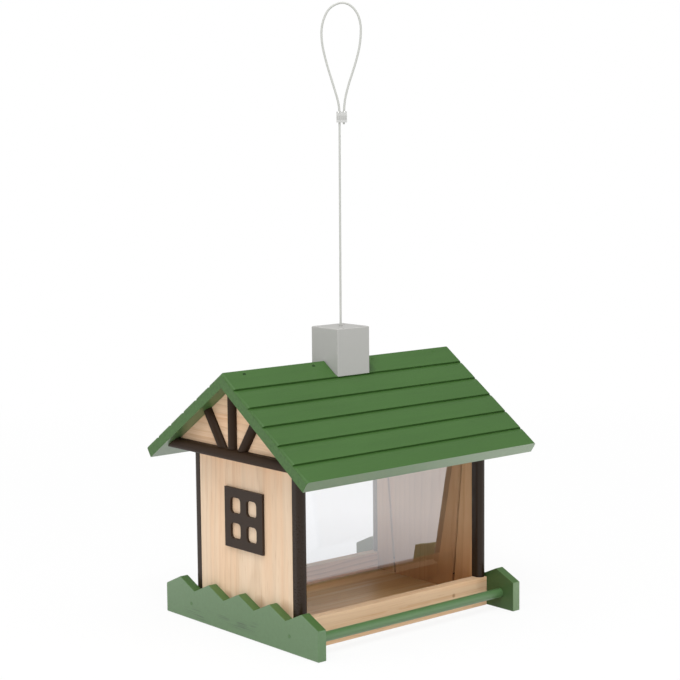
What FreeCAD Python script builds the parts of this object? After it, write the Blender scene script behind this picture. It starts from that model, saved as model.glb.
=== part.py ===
"""A wooden bird feeding house that hangs on a wire.

X runs along the ridge, the front faces -Y and +Z is up. The origin is the centre of the underside.
The house is a seed tray with two end walls, two slanted clear panes and a perch on each long side.
The saddle roof is one loose assembly, which rests on the sloping tops of the walls and slides up the wire.
Lengths are in millimetres, angles in degrees.
"""
import FreeCAD, Part
import math
import os
import re
import Sketcher

V = FreeCAD.Vector

SIZES = {
    # walls, floor and rails of the tray
    "house_length": 208.6,
    "house_depth": 122,
    "wall_thickness": 9.4,
    "floor_lift": 1,
    "floor_thickness": 8.5,
    "rail_height": 25,
    "rail_thickness": 9.5,
    # rounded corner posts, which stand on the rails
    "post_width": 9.2,
    "post_depth": 9,
    "post_round": 4.4,
    "post_headroom": 15.8,
    # end boards with a zig-zag top
    "end_board_thickness": 8.2,
    "end_board_reach": 31.25,
    "tooth_valley": 25,
    "tooth_rise": 9.3,
    # perches, in blind sockets of the end boards
    "perch_diameter": 8,
    "perch_gap": 11.2,
    "perch_height": 13.6,
    "socket_depth": 5,
    "socket_fit": 0.1,
    # window frames on the walls
    "window_width": 50,
    "window_rise": 50,
    "window_thickness": 2.4,
    "window_border": 7.8,
    "window_bar": 8,
    "window_corner": 3.4,
    "window_centre": 95.2,
    "window_shift": 0.9,
    # panes, in slanted grooves of the walls
    "pane_thickness": 2,
    "pane_fit": 0.2,
    "pane_groove": 4,
    "pane_tilt": 5.65,
    "pane_bottom": 24,
    "pane_headroom": 16,
    "trough_width": 22.2,
    "pin_diameter": 1.6,
    "pin_depth": 4,
    # roof panels, mitred at the ridge
    "ridge_height": 218,
    "roof_pitch": 34.5,
    "roof_thickness": 10,
    "roof_overhang": 5.4,
    "eave_overhang": 20,
    "roof_ease": 2.2,
    "first_groove": 20.3,
    "board_pitch": 22.2,
    "groove_depth": 1.8,
    "groove_bevel": 5,
    # chimney, which rests on the slopes with a tenon in a notch of both panels
    "chimney_width": 35.3,
    "chimney_depth": 34.2,
    "chimney_tenon": 31,
    "chimney_rise": 28,
    "chimney_gap": 0.8,
    "chimney_ease": 0.9,
    "cord_bore": 4.4,
    # gables, which hang down outside the walls
    "lift_gap": 0.9,
    "gable_thickness": 9,
    "gable_rise": 59.9,
    "beam_height": 9.2,
    "beam_depth": 6.5,
    "beam_round": 4.4,
    "strut_width": 9,
    "strut_depth": 4.6,
    "strut_round": 4,
    "brace_foot": 13.4,
    # carrier bar under the ridge, and the stop on the wire's lower end
    "bar_width": 12,
    "bar_height": 10,
    "bar_drop": 24,
    "bar_tenon": 4,
    "cord_diameter": 1.8,
    "cord_fit": 0.3,
    "washer_diameter": 10,
    "washer_thickness": 1,
    "stop_diameter": 5,
    "stop_length": 7,
    # double sleeve that closes the hanging loop
    "ferrule_level": 416.3,
    "ferrule_width": 9.2,
    "ferrule_depth": 4.6,
    "ferrule_height": 9,
    "ferrule_round": 2.1,
    "wire_lean": 1,
    "loop_gap": 3.5,
    "loop_turn": 40.5,
    # nails
    "nail_diameter": 1.6,
    "nail_length": 24,
    "nail_head": 3,
    "nail_head_height": 0.6,
    "nail_stand": 0.2,
    "end_nail_level": 13.6,
    "rail_nail_place": 64,
    "floor_nail_place": 25,
    "ridge_nail_drop": 4.9,
    "ridge_nail_inner": 33,
    "ridge_nail_outer": 105.5,
}

TEETH = 5
ROOF_GROOVES = 5

# Where the pieces meet, each worked out from the sizes above.
PLACES = {
    "wall_face": "house_length / 2",
    "wall_inside": "house_length / 2 - wall_thickness",
    "floor_top": "floor_lift + floor_thickness",
    "rail_inside": "house_depth / 2",
    "rail_front": "house_depth / 2 + rail_thickness",
    "board_end": "rail_front + end_board_reach",
    "perch_axis": "rail_front + perch_gap + perch_diameter / 2",
    "roof_inside": "ridge_height - roof_thickness / cos(roof_pitch)",
    "wall_shoulder": "roof_inside - rail_inside * tan(roof_pitch)",
    "post_top": "roof_inside - (rail_inside + post_depth) * tan(roof_pitch) - post_headroom",
    "gable_back": "wall_face + lift_gap",
    "gable_face": "gable_back + gable_thickness",
    "gable_bottom": "roof_inside - gable_rise",
    "gable_corner": "gable_rise / tan(roof_pitch)",
    "beam_top": "gable_bottom + beam_height",
    "beam_corner": "(gable_rise - beam_height) / tan(roof_pitch)",
    "roof_end": "gable_face + beam_depth + roof_overhang",
    "eave": "gable_corner + eave_overhang",
    "brace_length": "(roof_inside - brace_foot * tan(roof_pitch) - beam_top) * cos(roof_pitch)",
    "chimney_top": "ridge_height + chimney_rise",
    "chimney_bottom": "roof_inside - chimney_tenon / 2 * tan(roof_pitch)",
    "bar_top": "roof_inside - bar_drop",
    "bar_bottom": "bar_top - bar_height",
    "stop_top": "bar_bottom - washer_thickness",
    "pane_foot": "rail_inside - trough_width",
    "pane_reach": "(roof_inside - pane_foot * tan(roof_pitch) - pane_bottom)"
                  " / (cos(pane_tilt) + sin(pane_tilt) * tan(roof_pitch))",
    "pane_length": "pane_reach - pane_headroom",
}

# Route of the hanging loop, above the sleeve: across from the wire's foot, and up.
LOOP_ROUTE = [
    (1, 430.1), (-3.4, 445.3), (-9.9, 466.4), (-13.6, 483.8), (-13.1, 497.4), (-7.4, 510.5),
    (4.1, 515.6), (13.5, 511), (19.4, 499.7), (19.1, 482.7), (15, 465.7), (7.8, 445.2), (4.5, 430.1),
]
CORD_TAIL = 1.5

doc = FreeCAD.newDocument("bird_feeding_house")
sheet = doc.addObject("Spreadsheet::Sheet", "sizes")
for row, (size_name, number) in enumerate(SIZES.items(), 1):
    sheet.set(f"A{row}", size_name)
    sheet.set(f"B{row}", str(number))
    sheet.setAlias(f"B{row}", size_name)
doc.recompute()

pieces = []


def bound(text):
    """Spell out the places in an expression, and read its sizes from the sheet."""
    def spell(match):
        word = match.group(0)
        if word in PLACES:
            return "(" + bound(PLACES[word]) + ")"
        return "sizes." + word if word in SIZES else word
    return re.sub(r"[a-z_]\w*", spell, text)


def value(text):
    return float(sheet.evalExpression(bound(text)))


def bind(target, **settings):
    """Bind properties of an object; two underscores stand for a dot in a property's path."""
    for path, text in settings.items():
        target.setExpression(path.replace("__", "."), bound(text))


def start_body(label, turned=False):
    """A new piece; a turned one is the same piece on the opposite side of the house."""
    body = doc.addObject("PartDesign::Body", label)
    body.Label = label
    if turned:
        body.Placement = FreeCAD.Placement(V(0, 0, 0), FreeCAD.Rotation(V(0, 0, 1), 180))
    pieces.append(body)
    return body


def pin_point(sketch, edge, point, across, up):
    """Hold a point of a sketch at its two coordinates."""
    for kind, axis, text in (("DistanceX", -2, across), ("DistanceY", -1, up)):
        if text == "0":
            sketch.addConstraint(Sketcher.Constraint("PointOnObject", edge, point, axis))
        else:
            index = sketch.addConstraint(Sketcher.Constraint(kind, -1, 1, edge, point, value(text)))
            sketch.setExpression(f"Constraints[{index}]", bound(text))


def draw_outline(sketch, corners):
    first = sketch.GeometryCount
    points = [V(value(across), value(up), 0) for across, up in corners]
    for start, end in zip(points, points[1:] + points[:1]):
        sketch.addGeometry(Part.LineSegment(start, end), False)
    for index, (across, up) in enumerate(corners):
        previous = first + (index - 1) % len(corners)
        sketch.addConstraint(Sketcher.Constraint("Coincident", first + index, 1, previous, 2))
        pin_point(sketch, first + index, 1, across, up)


def draw_circle(sketch, across, up, diameter):
    centre = V(value(across), value(up), 0)
    edge = sketch.addGeometry(Part.Circle(centre, V(0, 0, 1), value(diameter) / 2), False)
    pin_point(sketch, edge, 3, across, up)
    index = sketch.addConstraint(Sketcher.Constraint("Diameter", edge, value(diameter)))
    sketch.setExpression(f"Constraints[{index}]", bound(diameter))


def draw(body, plane, level, outlines=(), circles=()):
    """A sketch of closed outlines and circles, parallel to one of the body's own planes."""
    sketch = body.newObject("Sketcher::SketchObject", body.Label + "_sketch")
    support = next(item for item in body.Origin.OriginFeatures if item.Role == plane)
    sketch.AttachmentSupport = [(support, "")]
    sketch.MapMode = "FlatFace"
    bind(sketch, AttachmentOffset__Base__z=level)
    for corners in outlines:
        draw_outline(sketch, corners)
    for across, up, diameter in circles:
        draw_circle(sketch, across, up, diameter)
    doc.recompute()
    return sketch


def pad(body, sketch, length, both_ways=False):
    feature = body.newObject("PartDesign::Pad", body.Label + "_pad")
    feature.Profile = sketch
    feature.SideType = "Symmetric" if both_ways else "One side"
    bind(feature, Length=length)
    doc.recompute()
    return feature


def pocket(body, sketch, depth=None):
    """Cut a sketch away from the side that it faces, through everything or to a depth."""
    before = body.Shape.Volume
    feature = body.newObject("PartDesign::Pocket", body.Label + "_pocket")
    feature.Profile = sketch
    if depth is None:
        feature.Type = "ThroughAll"
    else:
        bind(feature, Length=depth)
    doc.recompute()
    if body.Shape.Volume > before - 1e-3:
        raise RuntimeError(body.Label + ": a cut takes nothing away")
    return feature


def round_edges(body, radius, chosen):
    """Round the edges of a piece that the given test picks out."""
    base = body.Tip
    names = [f"Edge{index}" for index, edge in enumerate(base.Shape.Edges, 1) if chosen(edge)]
    feature = body.newObject("PartDesign::Fillet", body.Label + "_round")
    feature.Base = (base, names)
    bind(feature, Radius=radius)
    doc.recompute()
    return feature


def round_strip(body, radius, outward):
    """Round the two long edges of a strip's outward face."""
    edges = body.Tip.Shape.Edges
    reach = max(edge.BoundBox.Center.dot(outward) for edge in edges)
    front = [edge for edge in edges if abs(edge.BoundBox.Center.dot(outward) - reach) < 1e-6]
    least = sorted(edge.Length for edge in front)[-2] - 1e-6
    lying = [edge for edge in front if edge.Length > least]
    return round_edges(body, radius, lambda edge: any(edge.isSame(one) for one in lying))


def rectangle(left, low, right, high):
    return [(left, low), (right, low), (right, high), (left, high)]


def plank(label, size, corner):
    """A plain square-cut board."""
    board = doc.addObject("Part::Box", label)
    board.Label = label
    bind(board, Length=size[0], Width=size[1], Height=size[2])
    bind(board, Placement__Base__x=corner[0], Placement__Base__y=corner[1], Placement__Base__z=corner[2])
    pieces.append(board)
    return board


def rod(name, diameter, length, base, turn=None):
    """A round bar; it stands on its base unless it is turned."""
    bar = doc.addObject("Part::Cylinder", name)
    bar.Label = name
    if turn is not None:
        bar.Placement = FreeCAD.Placement(V(0, 0, 0), turn)
    bind(bar, Radius=f"({diameter}) / 2", Height=length)
    bind(bar, Placement__Base__x=base[0], Placement__Base__y=base[1], Placement__Base__z=base[2])
    return bar


def cut(label, base, tool):
    result = doc.addObject("Part::Cut", label)
    result.Label = label
    result.Base = base
    result.Tool = tool
    return result


def group(label, members):
    """Alike small pieces kept together, as separate solids."""
    compound = doc.addObject("Part::Compound", label)
    compound.Label = label
    compound.Links = members
    pieces.append(compound)
    return compound


ALONG_X = FreeCAD.Rotation(V(0, 1, 0), 90)
SIDES = (("left", False), ("right", True))


def make_floor_and_rails():
    floor = ("house_length", "house_depth", "floor_thickness")
    plank("floor_board", floor, ("-wall_face", "-rail_inside", "floor_lift"))
    rail = ("house_length", "rail_thickness", "rail_height")
    plank("front_rail", rail, ("-wall_face", "-rail_front", "0"))
    plank("rear_rail", rail, ("-wall_face", "rail_inside", "0"))


def make_end_boards():
    """Boards across the tray's ends, cut to a zig-zag of equal teeth along the top."""
    corners = [("-(board_end)", "0"), ("board_end", "0"), ("board_end", "tooth_valley")]
    for tooth in range(TEETH):
        peak = (TEETH - 1 - 2 * tooth) / TEETH
        valley = (TEETH - 2 - 2 * tooth) / TEETH
        corners.append((f"board_end * {peak}" if peak else "0", "tooth_valley + tooth_rise"))
        corners.append((f"board_end * {valley}", "tooth_valley"))
    sockets = [(side + "perch_axis", "perch_height", "perch_diameter + 2 * socket_fit") for side in ("-", "")]
    for side, turned in SIDES:
        board = start_body(f"{side}_end_board", turned)
        pad(board, draw(board, "YZ_Plane", "-(wall_face + end_board_thickness)", [corners]), "end_board_thickness")
        pocket(board, draw(board, "YZ_Plane", "-wall_face", circles=sockets), "socket_depth")


def make_perches():
    length = "house_length + 2 * socket_depth"
    for name, side in (("front_perch", "-"), ("rear_perch", "")):
        base = ("-(wall_face + socket_depth)", side + "perch_axis", "perch_height")
        pieces.append(rod(name, "perch_diameter", length, base, ALONG_X))


def pane_corners(side, low, high, half):
    """Section of a leaning strip in the pane's plane, from low to high along it and half wide each way."""
    lean = f"{side}sin(pane_tilt)"
    lift = "cos(pane_tilt)"
    foot = f"{side}pane_foot"
    corners = []
    for along, across in ((low, f"-({half})"), (low, f"({half})"), (high, f"({half})"), (high, f"-({half})")):
        corners.append((
            f"{foot} + ({along}) * {lean} + {across} * {lift}",
            f"pane_bottom + ({along}) * {lift} - {across} * {lean}",
        ))
    return corners


def make_walls():
    """End walls with a gable top, a saw groove for each pane and a mortise for the carrier bar."""
    corners = [
        ("-rail_inside", "floor_top"), ("rail_inside", "floor_top"),
        ("rail_inside", "wall_shoulder"), ("0", "roof_inside"), ("-rail_inside", "wall_shoulder"),
    ]
    half = "pane_thickness / 2 + pane_fit"
    grooves = [pane_corners(side, "-pane_bottom", "ridge_height", half) for side in ("-", "")]
    mortise = rectangle("-bar_width / 2", "bar_bottom", "bar_width / 2", "bar_top")
    for side, turned in SIDES:
        wall = start_body(f"{side}_end_wall", turned)
        pad(wall, draw(wall, "YZ_Plane", "-wall_face", [corners]), "wall_thickness")
        pocket(wall, draw(wall, "YZ_Plane", "-(wall_inside)", grooves), "pane_groove")
        pocket(wall, draw(wall, "YZ_Plane", "-(wall_inside)", [mortise]), "bar_tenon")


def make_posts():
    """Rounded strips on the front and rear edges of the walls."""
    outline = rectangle("-wall_face", "-(rail_inside + post_depth)", "-wall_face + post_width", "-rail_inside")
    mirrored = rectangle("wall_face - post_width", "-(rail_inside + post_depth)", "wall_face", "-rail_inside")
    posts = (
        ("front_left_post", outline, False), ("front_right_post", mirrored, False),
        ("rear_left_post", mirrored, True), ("rear_right_post", outline, True),
    )
    for name, corners, turned in posts:
        post = start_body(name, turned)
        pad(post, draw(post, "XY_Plane", "rail_height", [corners]), "post_top - rail_height")
        round_strip(post, "min(post_round; post_width / 2 - 0.1)", V(0, -1, 0))


def make_window_frames():
    """Thin frames with four lights, each with rounded corners."""
    frame = rectangle("-window_shift - window_width / 2", "window_centre - window_rise / 2",
                      "-window_shift + window_width / 2", "window_centre + window_rise / 2")
    across = ("-window_shift - window_width / 2 + window_border", "-window_shift - window_bar / 2",
              "-window_shift + window_bar / 2", "-window_shift + window_width / 2 - window_border")
    up = ("window_centre - window_rise / 2 + window_border", "window_centre - window_bar / 2",
          "window_centre + window_bar / 2", "window_centre + window_rise / 2 - window_border")
    lights = [rectangle(across[i], up[j], across[i + 1], up[j + 1]) for i in (0, 2) for j in (0, 2)]
    inner = value("window_width / 2 - window_border") + 0.01
    shift = value("window_shift")
    for side, turned in SIDES:
        window = start_body(f"{side}_window_frame", turned)
        sketch = draw(window, "YZ_Plane", "-(wall_face + window_thickness)", [frame])
        pad(window, sketch, "window_thickness")
        pocket(window, draw(window, "YZ_Plane", "-wall_face", lights), "window_thickness")
        round_edges(window, "window_corner", lambda edge: edge.BoundBox.XLength > 1e-3
                    and abs(edge.BoundBox.Center.y + shift) < inner)


def make_panes():
    """Clear sheets that lean outwards and leave a seed slot above the floor."""
    length = "2 * (wall_inside + pane_groove - pane_fit)"
    for name, side in (("front_pane", "-"), ("rear_pane", "")):
        pane = start_body(name)
        corners = pane_corners(side, "0", "pane_length", "pane_thickness / 2")
        pad(pane, draw(pane, "YZ_Plane", "0", [corners]), length, both_ways=True)


def make_pane_pins():
    """Pins in the grooves, just under the lower corners of the panes."""
    length = "pane_groove + pin_depth"
    pins = []
    for side in ("-", ""):
        for end, place in enumerate(("-(wall_inside + pane_groove + pin_depth)", "wall_inside")):
            base = (
                place,
                f"{side}(pane_foot - pin_diameter / 2 * sin(pane_tilt))",
                "pane_bottom - pin_diameter / 2 * cos(pane_tilt)",
            )
            pins.append(rod(f"pane_pin_{len(pins)}", "pin_diameter", length, base, ALONG_X))
    group("pane_pins", pins)


def make_carrier():
    """Batten that the wire hangs from, with the washer and the sleeve on the wire's lower end."""
    bar = plank("carrier_batten", ("2 * (wall_inside + bar_tenon)", "bar_width", "bar_height"),
                ("-(wall_inside + bar_tenon)", "-bar_width / 2", "bar_bottom"))
    pieces.remove(bar)
    passage = "cord_diameter + 2 * cord_fit"
    bore = rod("carrier_bore", passage, "bar_height", ("0", "0", "bar_bottom"))
    pieces.append(cut("carrier_bar", bar, bore))
    rings = (
        ("stop_washer", "washer_diameter", passage, "washer_thickness", "stop_top"),
        ("cord_stop", "stop_diameter", "cord_diameter", "stop_length", "stop_top - stop_length"),
    )
    for name, outside, inside, height, level in rings:
        ring = rod(name + "_body", outside, height, ("0", "0", level))
        hole = rod(name + "_hole", inside, height, ("0", "0", level))
        pieces.append(cut(name, ring, hole))


def make_roof_panels():
    """Two boards with rounded ends and grooves along them, so that each looks like six narrow ones."""
    section = [
        ("0", "ridge_height"), ("-eave", "ridge_height - eave * tan(roof_pitch)"),
        ("-eave + roof_thickness * sin(roof_pitch)",
         "ridge_height - eave * tan(roof_pitch) - roof_thickness * cos(roof_pitch)"),
        ("0", "roof_inside"),
    ]
    grooves = []
    for number in range(ROOF_GROOVES):
        along = f"(first_groove + {number} * board_pitch)"
        corners = []
        for run, deep in ((along, "-groove_depth"), (along, "groove_depth"),
                          (f"({along} + 2 * groove_bevel)", "-groove_depth")):
            corners.append((
                f"-{run} * cos(roof_pitch) + {deep} * sin(roof_pitch)",
                f"ridge_height - {run} * sin(roof_pitch) - {deep} * cos(roof_pitch)",
            ))
        grooves.append(corners)
    notch_side = "chimney_width / 2 + chimney_gap"
    notch = rectangle(f"-({notch_side})", "-chimney_tenon / 2", notch_side, "chimney_tenon / 2")
    crown = value("roof_inside") + 1e-3
    for name, turned in (("front_roof_panel", False), ("rear_roof_panel", True)):
        panel = start_body(name, turned)
        pad(panel, draw(panel, "YZ_Plane", "0", [section]), "2 * roof_end", both_ways=True)
        round_edges(panel, "roof_ease", lambda edge: edge.BoundBox.YMin < -1e-3
                    and edge.BoundBox.XLength < 1e-3 and edge.BoundBox.ZMax > crown)
        pocket(panel, draw(panel, "YZ_Plane", "roof_end", grooves))
        pocket(panel, draw(panel, "XY_Plane", "chimney_top", [notch]))


def make_chimney():
    """Block with a bore for the wire; its lower part is narrower, so that its front and rear rest on the slopes."""
    chimney = start_body("chimney")
    foot = rectangle("-chimney_width / 2", "-chimney_depth / 2", "chimney_width / 2", "chimney_depth / 2")
    pad(chimney, draw(chimney, "XY_Plane", "chimney_bottom", [foot]), "chimney_top - chimney_bottom")
    bottom = value("chimney_bottom") + 1e-3
    round_edges(chimney, "chimney_ease", lambda edge: edge.BoundBox.ZMax > bottom)
    pocket(chimney, draw(chimney, "XY_Plane", "chimney_top", circles=[("0", "0", "cord_bore")]))
    shoulders = []
    inner = "chimney_tenon / 2"
    outer = "chimney_depth"
    low = "chimney_bottom - chimney_tenon"
    for side in ("-", ""):
        shoulders.append([
            (side + inner, f"ridge_height - {inner} * tan(roof_pitch)"),
            (side + outer, f"ridge_height - {outer} * tan(roof_pitch)"),
            (side + outer, low), (side + inner, low),
        ])
    pocket(chimney, draw(chimney, "YZ_Plane", "chimney_width", shoulders))


def make_gables():
    """Triangles under the roof's ends with a tie beam, a king post and two braces on each."""
    triangle = [("-gable_corner", "gable_bottom"), ("gable_corner", "gable_bottom"), ("0", "roof_inside")]
    beam = [
        ("-gable_corner", "gable_bottom"), ("gable_corner", "gable_bottom"),
        ("beam_corner", "beam_top"), ("-beam_corner", "beam_top"),
    ]
    shoulder = "roof_inside - strut_width / 2 * tan(roof_pitch)"
    king = [
        ("-strut_width / 2", "beam_top"), ("strut_width / 2", "beam_top"),
        ("strut_width / 2", shoulder), ("0", "roof_inside"), ("-strut_width / 2", shoulder),
    ]
    for side, turned in SIDES:
        gable = start_body(f"{side}_gable_panel", turned)
        pad(gable, draw(gable, "YZ_Plane", "-gable_face", [triangle]), "gable_thickness")
        strip(f"{side}_tie_beam", turned, beam, "beam_depth", "beam_round", "beam_height")
        strip(f"{side}_king_post", turned, king, "strut_depth", "strut_round", "strut_width")
        for name, sign in (("front", "" if turned else "-"), ("rear", "-" if turned else "")):
            corners = brace_corners(sign)
            strip(f"{side}_{name}_brace", turned, corners, "strut_depth", "strut_round", "strut_width")


def brace_corners(sign):
    """A brace that stands on the tie beam and meets the roof at a right angle."""
    corners = []
    for half in ("-strut_width / 2", "strut_width / 2"):
        corners.append((f"{sign}(brace_foot + {half} / cos(roof_pitch))", "beam_top"))
    for half in ("strut_width / 2", "-strut_width / 2"):
        corners.append((
            f"{sign}(brace_foot + brace_length * sin(roof_pitch) + {half} * cos(roof_pitch))",
            f"beam_top + brace_length * cos(roof_pitch) - {half} * sin(roof_pitch)",
        ))
    return corners


def strip(label, turned, corners, depth, roundness, width):
    """A dark strip on the gable's face with a rounded front."""
    body = start_body(label, turned)
    pad(body, draw(body, "YZ_Plane", f"-(gable_face + {depth})", [corners]), depth)
    round_strip(body, f"min({roundness}; {width} / 2 - 0.1; {depth} - 0.1)", V(-1, 0, 0))


def rounded_route(points):
    """Straight runs joined by tangent arcs, each arc as large as its two runs allow."""
    edges = []
    last = points[0]
    for before, corner, after in zip(points, points[1:], points[2:]):
        back = (before - corner).normalize()
        ahead = (after - corner).normalize()
        half_turn = (math.pi - back.getAngle(ahead)) / 2
        reach = 0.45 * min((before - corner).Length, (after - corner).Length)
        radius = reach / math.tan(half_turn)
        print("loop radius", round(radius, 1), "turn", round(math.degrees(2 * half_turn), 1))
        inward = (back + ahead).normalize()
        middle = corner + inward * (math.hypot(reach, radius) - radius)
        edges.append(Part.LineSegment(last, corner + back * reach).toShape())
        edges.append(Part.Arc(corner + back * reach, middle, corner + ahead * reach).toShape())
        last = corner + ahead * reach
    edges.append(Part.LineSegment(last, points[-1]).toShape())
    return Part.Wire(edges)


def make_cord():
    """Wire from its stop straight up through the chimney, round the loop and back into the sleeve."""
    turn = math.radians(value("loop_turn"))
    foot = value("stop_top - stop_length") - CORD_TAIL
    tail = value("ferrule_level") - CORD_TAIL
    route = [(0, foot)] + LOOP_ROUTE + [(LOOP_ROUTE[-1][0], tail)]
    points = [V(across * math.cos(turn), -across * math.sin(turn), up) for across, up in route]
    path = rounded_route(points)
    radius = value("cord_diameter") / 2
    circle = Part.Wire(Part.Circle(points[0], V(0, 0, 1), radius).toShape())
    shape = path.makePipeShell([circle], True, False)
    print("cord length", round(path.Length, 1), "volume share", shape.Volume / (math.pi * radius ** 2 * path.Length))
    cord = doc.addObject("Part::Feature", "hanging_cord")
    cord.Label = "hanging_cord"
    cord.Shape = shape
    cord.Placement = FreeCAD.Placement()
    pieces.append(cord)


def make_ferrule():
    """Double sleeve with a bore for each of the two wires."""
    ferrule = start_body("loop_ferrule")
    ferrule.Placement = FreeCAD.Placement(V(0, 0, 0), FreeCAD.Rotation(V(0, 0, -1), value("loop_turn")))
    outline = rectangle("wire_lean + (loop_gap - ferrule_width) / 2", "-ferrule_depth / 2",
                        "wire_lean + (loop_gap + ferrule_width) / 2", "ferrule_depth / 2")
    pad(ferrule, draw(ferrule, "XY_Plane", "ferrule_level", [outline]), "ferrule_height")
    round_edges(ferrule, "min(ferrule_round; ferrule_depth / 2 - 0.1)", lambda edge: edge.BoundBox.ZLength > 1e-3)
    bores = [("wire_lean", "0", "cord_diameter"), ("wire_lean + loop_gap", "0", "cord_diameter")]
    pocket(ferrule, draw(ferrule, "XY_Plane", "ferrule_level + ferrule_height", circles=bores))


def nail(name, place, turn, angle=None):
    """A nail with a six-sided shank; unturned it points down, and its head stands a little above its place."""
    shank = doc.addObject("Part::Prism", name + "_shank")
    shank.Polygon = 6
    bind(shank, Circumradius="nail_diameter / 2", Height="nail_length", Placement__Base__z="nail_stand - nail_length")
    head = rod(name + "_head", "nail_head", "nail_head_height", ("0", "0", "nail_stand - nail_head_height"))
    whole = doc.addObject("Part::Fuse", name)
    whole.Base = shank
    whole.Tool = head
    whole.Placement = FreeCAD.Placement(V(0, 0, 0), turn)
    bind(whole, Placement__Base__x=place[0], Placement__Base__y=place[1], Placement__Base__z=place[2])
    if angle:
        bind(whole, Placement__Rotation__Angle=angle)
    return whole


def make_nails():
    down = V(0, 0, -1)
    signs = ("-", "")
    end_nails = []
    rail_nails = []
    floor_nails = []
    for x_sign in signs:
        for y_sign in signs:
            inward_x = FreeCAD.Rotation(down, V(1 if x_sign else -1, 0, 0))
            inward_y = FreeCAD.Rotation(down, V(0, 1 if y_sign else -1, 0))
            upward = FreeCAD.Rotation(V(1, 0, 0), 180)
            number = len(end_nails)
            end_place = (f"{x_sign}(wall_face + end_board_thickness)",
                         f"{y_sign}(rail_inside + rail_thickness / 2)", "end_nail_level")
            rail_place = (f"{x_sign}rail_nail_place", f"{y_sign}(rail_front)", "floor_lift + floor_thickness / 2")
            floor_place = (f"{x_sign}(wall_face - wall_thickness / 2)", f"{y_sign}floor_nail_place", "floor_lift")
            end_nails.append(nail(f"end_board_nail_{number}", end_place, inward_x))
            rail_nails.append(nail(f"rail_nail_{number}", rail_place, inward_y))
            floor_nails.append(nail(f"floor_nail_{number}", floor_place, upward))
    group("end_board_nails", end_nails)
    group("rail_nails", rail_nails)
    group("floor_nails", floor_nails)
    ridge_nails = []
    for along in ("-ridge_nail_outer", "-ridge_nail_inner", "ridge_nail_inner", "ridge_nail_outer"):
        place = (along, "-ridge_nail_drop * cos(roof_pitch)", "ridge_height - ridge_nail_drop * sin(roof_pitch)")
        lean = FreeCAD.Rotation(V(1, 0, 0), 90 - value("roof_pitch"))
        ridge_nails.append(nail(f"ridge_nail_{len(ridge_nails)}", place, lean, "90 - roof_pitch"))
    group("ridge_nails", ridge_nails)


make_floor_and_rails()
make_end_boards()
make_perches()
make_walls()
make_posts()
make_window_frames()
make_panes()
make_pane_pins()
make_carrier()
make_roof_panels()
make_chimney()
make_gables()
make_cord()
make_ferrule()
make_nails()
doc.recompute()

for item in doc.Objects:
    if "Invalid" in item.State or "Error" in item.State:
        raise RuntimeError(f"{item.Label} failed: {item.State}")
for piece in pieces:
    if piece.Shape.isNull() or not piece.Shape.isValid():
        raise RuntimeError(f"{piece.Label} has no valid shape")

os.makedirs("parts", exist_ok=True)
for piece in pieces:
    piece.Shape.exportStep(f"parts/{piece.Label}.step")
print(len(pieces), "pieces written")
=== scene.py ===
"""Looks of a wooden bird feeding house that hangs on a wire.

Painted, stained and bare pine boards with eased edges, clear seed panes, nail heads and a coated wire.
Lengths are in metres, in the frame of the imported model, where a comment does not say otherwise.
"""
import bmesh
import bpy
import math
from mathutils import Matrix, Vector


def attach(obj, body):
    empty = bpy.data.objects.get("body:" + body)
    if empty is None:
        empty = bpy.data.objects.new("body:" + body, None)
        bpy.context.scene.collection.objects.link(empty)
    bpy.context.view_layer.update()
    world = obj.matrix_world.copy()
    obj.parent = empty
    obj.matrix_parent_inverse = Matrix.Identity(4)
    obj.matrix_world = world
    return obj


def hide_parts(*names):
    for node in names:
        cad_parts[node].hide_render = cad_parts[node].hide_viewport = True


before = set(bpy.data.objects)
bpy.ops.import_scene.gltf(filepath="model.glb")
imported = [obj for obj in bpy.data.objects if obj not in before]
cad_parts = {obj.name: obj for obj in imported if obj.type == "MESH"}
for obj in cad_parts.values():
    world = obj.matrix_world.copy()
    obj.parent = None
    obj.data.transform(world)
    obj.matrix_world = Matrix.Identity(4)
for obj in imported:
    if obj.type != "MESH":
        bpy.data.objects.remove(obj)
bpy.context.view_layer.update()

MM = 0.001


class Wire:
    """A shader socket that can stand in a sum or a product."""

    def __init__(self, finish, socket):
        self.finish = finish
        self.socket = socket

    def maths(self, operation, first, second=0.0):
        return self.finish.node("ShaderNodeMath", {"operation": operation}, {0: first, 1: second})

    def __add__(self, other):
        return self.maths("ADD", self, other)

    def __radd__(self, other):
        return self.maths("ADD", other, self)

    def __sub__(self, other):
        return self.maths("SUBTRACT", self, other)

    def __rsub__(self, other):
        return self.maths("SUBTRACT", other, self)

    def __mul__(self, other):
        return self.maths("MULTIPLY", self, other)

    def __rmul__(self, other):
        return self.maths("MULTIPLY", other, self)

    def __truediv__(self, other):
        return self.maths("DIVIDE", self, other)

    def __rtruediv__(self, other):
        return self.maths("DIVIDE", other, self)

    def __pow__(self, other):
        return self.maths("POWER", self, other)

    def __rpow__(self, other):
        return self.maths("POWER", other, self)

    def fraction(self):
        return self.maths("FRACT", self)

    def size(self):
        return self.maths("ABSOLUTE", self)

    def larger(self, other):
        return self.maths("MAXIMUM", self, other)


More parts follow.
